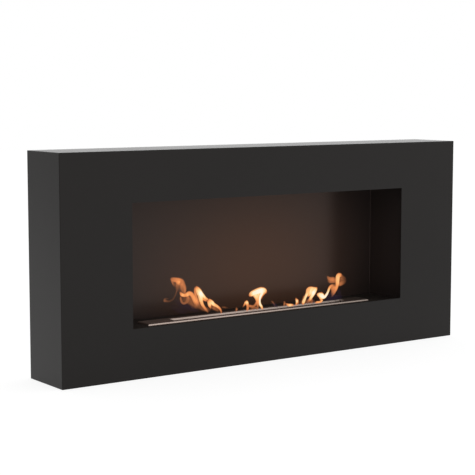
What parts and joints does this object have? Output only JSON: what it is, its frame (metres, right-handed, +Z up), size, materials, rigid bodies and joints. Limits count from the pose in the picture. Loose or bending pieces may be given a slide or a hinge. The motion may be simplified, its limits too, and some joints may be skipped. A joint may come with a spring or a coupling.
{
  "type": "bioethanol fireplace",
  "caption": "Wide shallow wall-hung bioethanol fireplace: black steel casing with an open firebox and a lift-out stainless burner with sliding regulator.",
  "frame": {"origin": "middle of the base, half way between the front and the wall plane", "axes": "X along the width, +Y from the front to the wall, +Z up"},
  "size_m": [0.9, 0.121, 0.4],
  "materials": {
    "casing_paint": "fine matt black powder coat",
    "firebox_paint": "satin black heat-resistant paint",
    "stainless": "brushed stainless steel",
    "zinc_steel": "zinc-plated sheet",
    "black_screws": "black oxide",
    "aluminium_rivets": "plain aluminium",
    "bumper_rubber": "matt black rubber",
    "ceramic_fibre": "white ceramic fibre felt"
  },
  "bodies": {
    "root": {"front_casing": "casing_paint", "casing_studs": "zinc_steel", "stud_nuts": "zinc_steel", "back_cover": "zinc_steel", "cover_screws": "black_screws", "wall_bumpers": "bumper_rubber", "hanger_bar": "zinc_steel", "hanger_rivets": "aluminium_rivets", "wall_rail": "zinc_steel", "firebox_wrap": "firebox_paint", "firebox_ceiling": "firebox_paint", "firebox_floor": "firebox_paint", "liner_rivets": "aluminium_rivets", "ceiling_insulation": "ceramic_fibre", "spill_tray": "zinc_steel"},
    "burner": {"burner_plate": "stainless", "burner_tank": "stainless", "register_channel": "stainless", "wool_block": "ceramic_fibre", "wool_screen": "stainless"},
    "regulator": {"regulator_slide": "stainless", "regulator_lug": "stainless", "lug_rivets": "stainless"}
  },
  "joints": [
    {"name": "burner_lift", "type": "slide", "parent": "root", "child": "burner", "axis": [0, 0, 1], "range_m": [0, 0.06]},
    {"name": "regulator_slide", "type": "slide", "parent": "burner", "child": "regulator", "axis": [-1, 0, 0], "range_m": [0, 0.024]}
  ]
}
